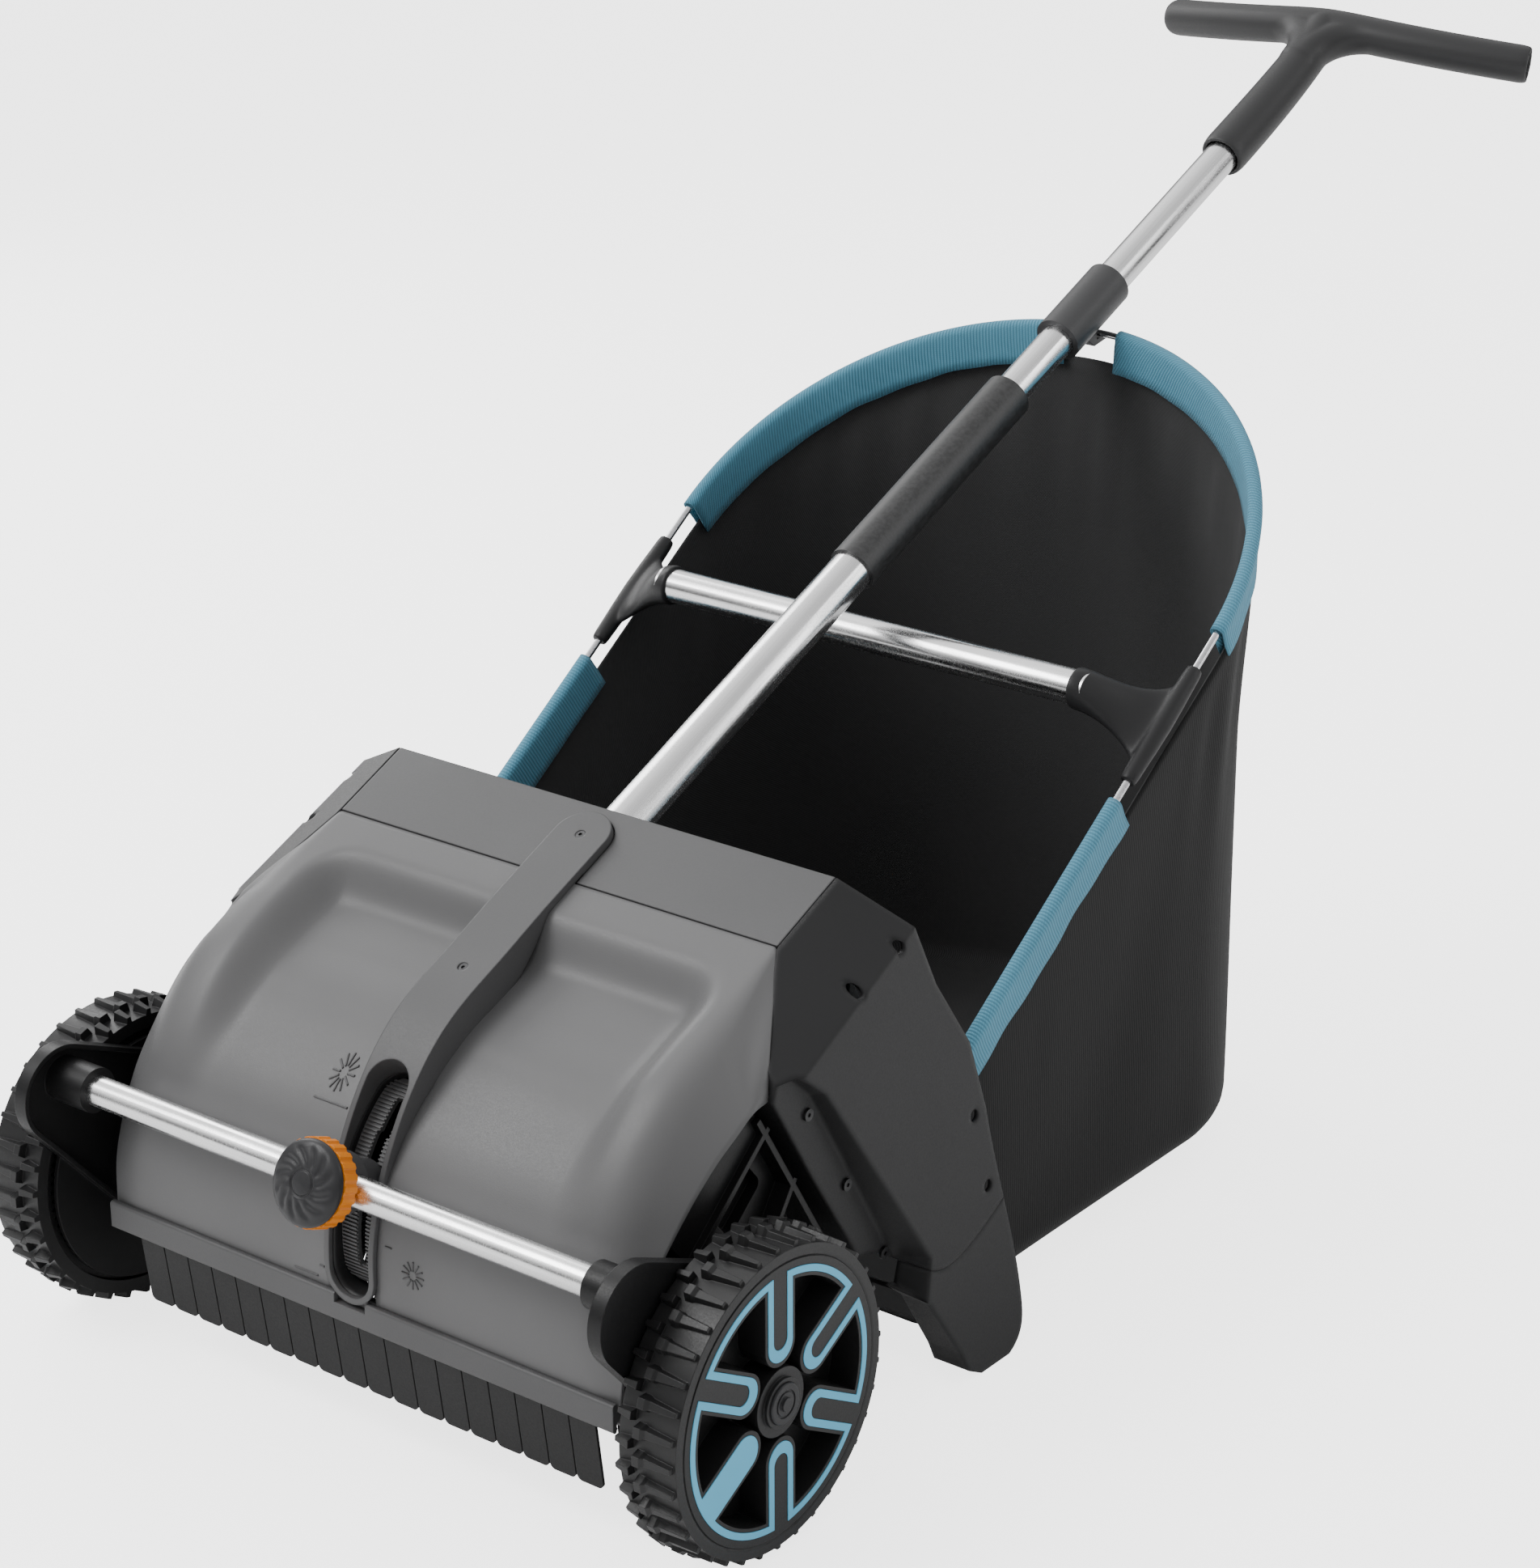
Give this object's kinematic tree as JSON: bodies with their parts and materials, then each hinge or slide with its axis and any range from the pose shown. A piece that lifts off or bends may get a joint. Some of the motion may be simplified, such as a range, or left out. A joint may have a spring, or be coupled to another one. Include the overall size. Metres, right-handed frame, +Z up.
{
  "type": "push lawn sweeper",
  "caption": "Push lawn sweeper: toothed wheels turn a transverse brush through gears and throw leaves into a soft rear basket under a long telescopic T-handle.",
  "frame": {"origin": "on the ground, on the middle plane, halfway along the whole length", "axes": "+X to the sweeper's right, -Y to the front, +Z up"},
  "size_m": [0.5808, 1.2056, 0.717],
  "materials": {
    "shell_grey": "satin, fine texture",
    "cover_grey": "fine matte texture",
    "trim_dark": "fine matte texture",
    "frame_black": "moulded, slightly glossy",
    "wheel_black": "moulded, satin",
    "inlay_blue": "satin",
    "knob_orange": "smooth",
    "knob_grey": "satin",
    "tube_metal": "drawn tube, satin",
    "rod_chrome": "bright wire",
    "steel": "turned, zinc plated",
    "foam_sleeve": "foam, matte",
    "flap_rubber": "matte",
    "gear_nylon": "moulded nylon, black",
    "bristle": "nylon bristle",
    "bag_fabric": "woven polyester, charcoal",
    "band_blue": "ribbed webbing"
  },
  "bodies": {
    "chassis": {"front_shell": "shell_grey", "top_cover": "cover_grey", "spine_cover": "cover_grey", "spine_screws": "steel", "slot_rack": "frame_black", "front_lip": "trim_dark", "side_panel_right": "trim_dark", "side_panel_left": "trim_dark", "foot_right": "trim_dark", "foot_left": "trim_dark", "panel_screws": "steel", "flange_screws": "steel", "side_frame_right": "frame_black", "side_frame_left": "frame_black", "rear_ramp": "frame_black", "chassis_beam": "frame_black", "pole_socket": "trim_dark", "basket_seat_right": "frame_black", "basket_seat_left": "frame_black", "lower_pole": "tube_metal", "upper_pole": "tube_metal", "pole_sleeve": "foam_sleeve", "hook_collar": "trim_dark", "t_grip": "trim_dark"},
    "carrier": {"arm_right": "trim_dark", "arm_left": "trim_dark", "height_bar": "tube_metal", "clamp_boss": "trim_dark", "clamp_nut": "steel", "axle_right": "steel", "axle_left": "steel", "brush_bushes": "gear_nylon"},
    "knob": {"knob_ring": "knob_orange", "knob_cap": "knob_grey", "clamp_stud": "steel"},
    "wheel_right_body": {"wheel_right": "wheel_black", "wheel_inlay_right": "inlay_blue", "ring_gear_right": "gear_nylon", "hub_cap_right": "knob_grey"},
    "wheel_left_body": {"wheel_left": "wheel_black", "wheel_inlay_left": "inlay_blue", "ring_gear_left": "gear_nylon", "hub_cap_left": "knob_grey"},
    "brush": {"brush_shaft": "steel", "brush_core": "gear_nylon", "brush_bristles": "bristle", "pinion_right": "gear_nylon", "pinion_left": "gear_nylon"},
    "flaps": {"front_flaps": "flap_rubber"},
    "basket": {"basket_fabric": "bag_fabric", "rim_rod": "rod_chrome", "cross_tube": "tube_metal", "t_connector_right": "trim_dark", "t_connector_left": "trim_dark", "lower_band_right": "band_blue", "lower_band_left": "band_blue", "upper_band_right": "band_blue", "upper_band_left": "band_blue"}
  },
  "joints": [
    {"name": "height_adjust", "type": "hinge", "parent": "chassis", "child": "carrier", "pos_m": [0, -0.43737, 0.135], "axis": [1, 0, 0], "range_deg": [-28, 28]},
    {"name": "knob_turn", "type": "hinge", "parent": "carrier", "child": "knob", "pos_m": [0, -0.5644, 0.18632], "axis": [0, -0.9272, 0.3746], "range_deg": [0, 720]},
    {"name": "wheel_right_roll", "type": "hinge", "parent": "carrier", "child": "wheel_right_body", "pos_m": [0, -0.4928, 0.103], "axis": [1, 0, 0], "continuous": true},
    {"name": "wheel_left_roll", "type": "hinge", "parent": "carrier", "child": "wheel_left_body", "pos_m": [0, -0.4928, 0.103], "axis": [1, 0, 0], "continuous": true},
    {"name": "brush_spin", "type": "hinge", "parent": "carrier", "child": "brush", "pos_m": [0, -0.43737, 0.135], "axis": [1, 0, 0], "continuous": true},
    {"name": "flap_swing", "type": "hinge", "parent": "chassis", "child": "flaps", "pos_m": [0, -0.5508, 0.089], "axis": [1, 0, 0], "range_deg": [-20, 22]},
    {"name": "basket_lift", "type": "slide", "parent": "chassis", "child": "basket", "axis": [0, 0.915, 0.4035], "range_m": [0, 0.35]}
  ],
  "couplings": [
    {"joint": "wheel_left_roll", "follows": "wheel_right_roll", "ratio": 1},
    {"joint": "brush_spin", "follows": "wheel_right_roll", "ratio": 5}
  ]
}
